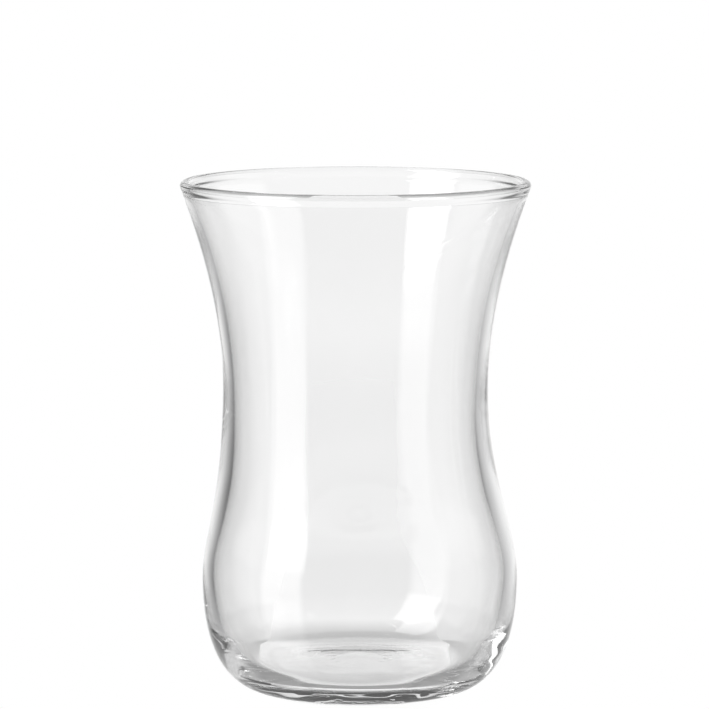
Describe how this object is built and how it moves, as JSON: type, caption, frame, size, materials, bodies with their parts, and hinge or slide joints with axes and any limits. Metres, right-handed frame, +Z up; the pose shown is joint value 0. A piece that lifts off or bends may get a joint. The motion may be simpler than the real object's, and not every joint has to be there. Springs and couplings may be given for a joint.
{
  "type": "tulip tea glass",
  "caption": "Clear tulip-shaped tea glass with a flared rim, a narrow waist, a round belly and a thick base, empty.",
  "frame": {"origin": "on the table under the glass, straight below the centre of the rim", "axes": "+Z up out of the mouth, -Y towards the viewer of the picture, +X to the viewer's right"},
  "size_m": [0.062, 0.062, 0.0908],
  "materials": {
    "clear_glass": "clear, smooth fire-polished soda-lime glass"
  },
  "bodies": {
    "root": {"glass": "clear_glass"}
  },
  "joints": []
}
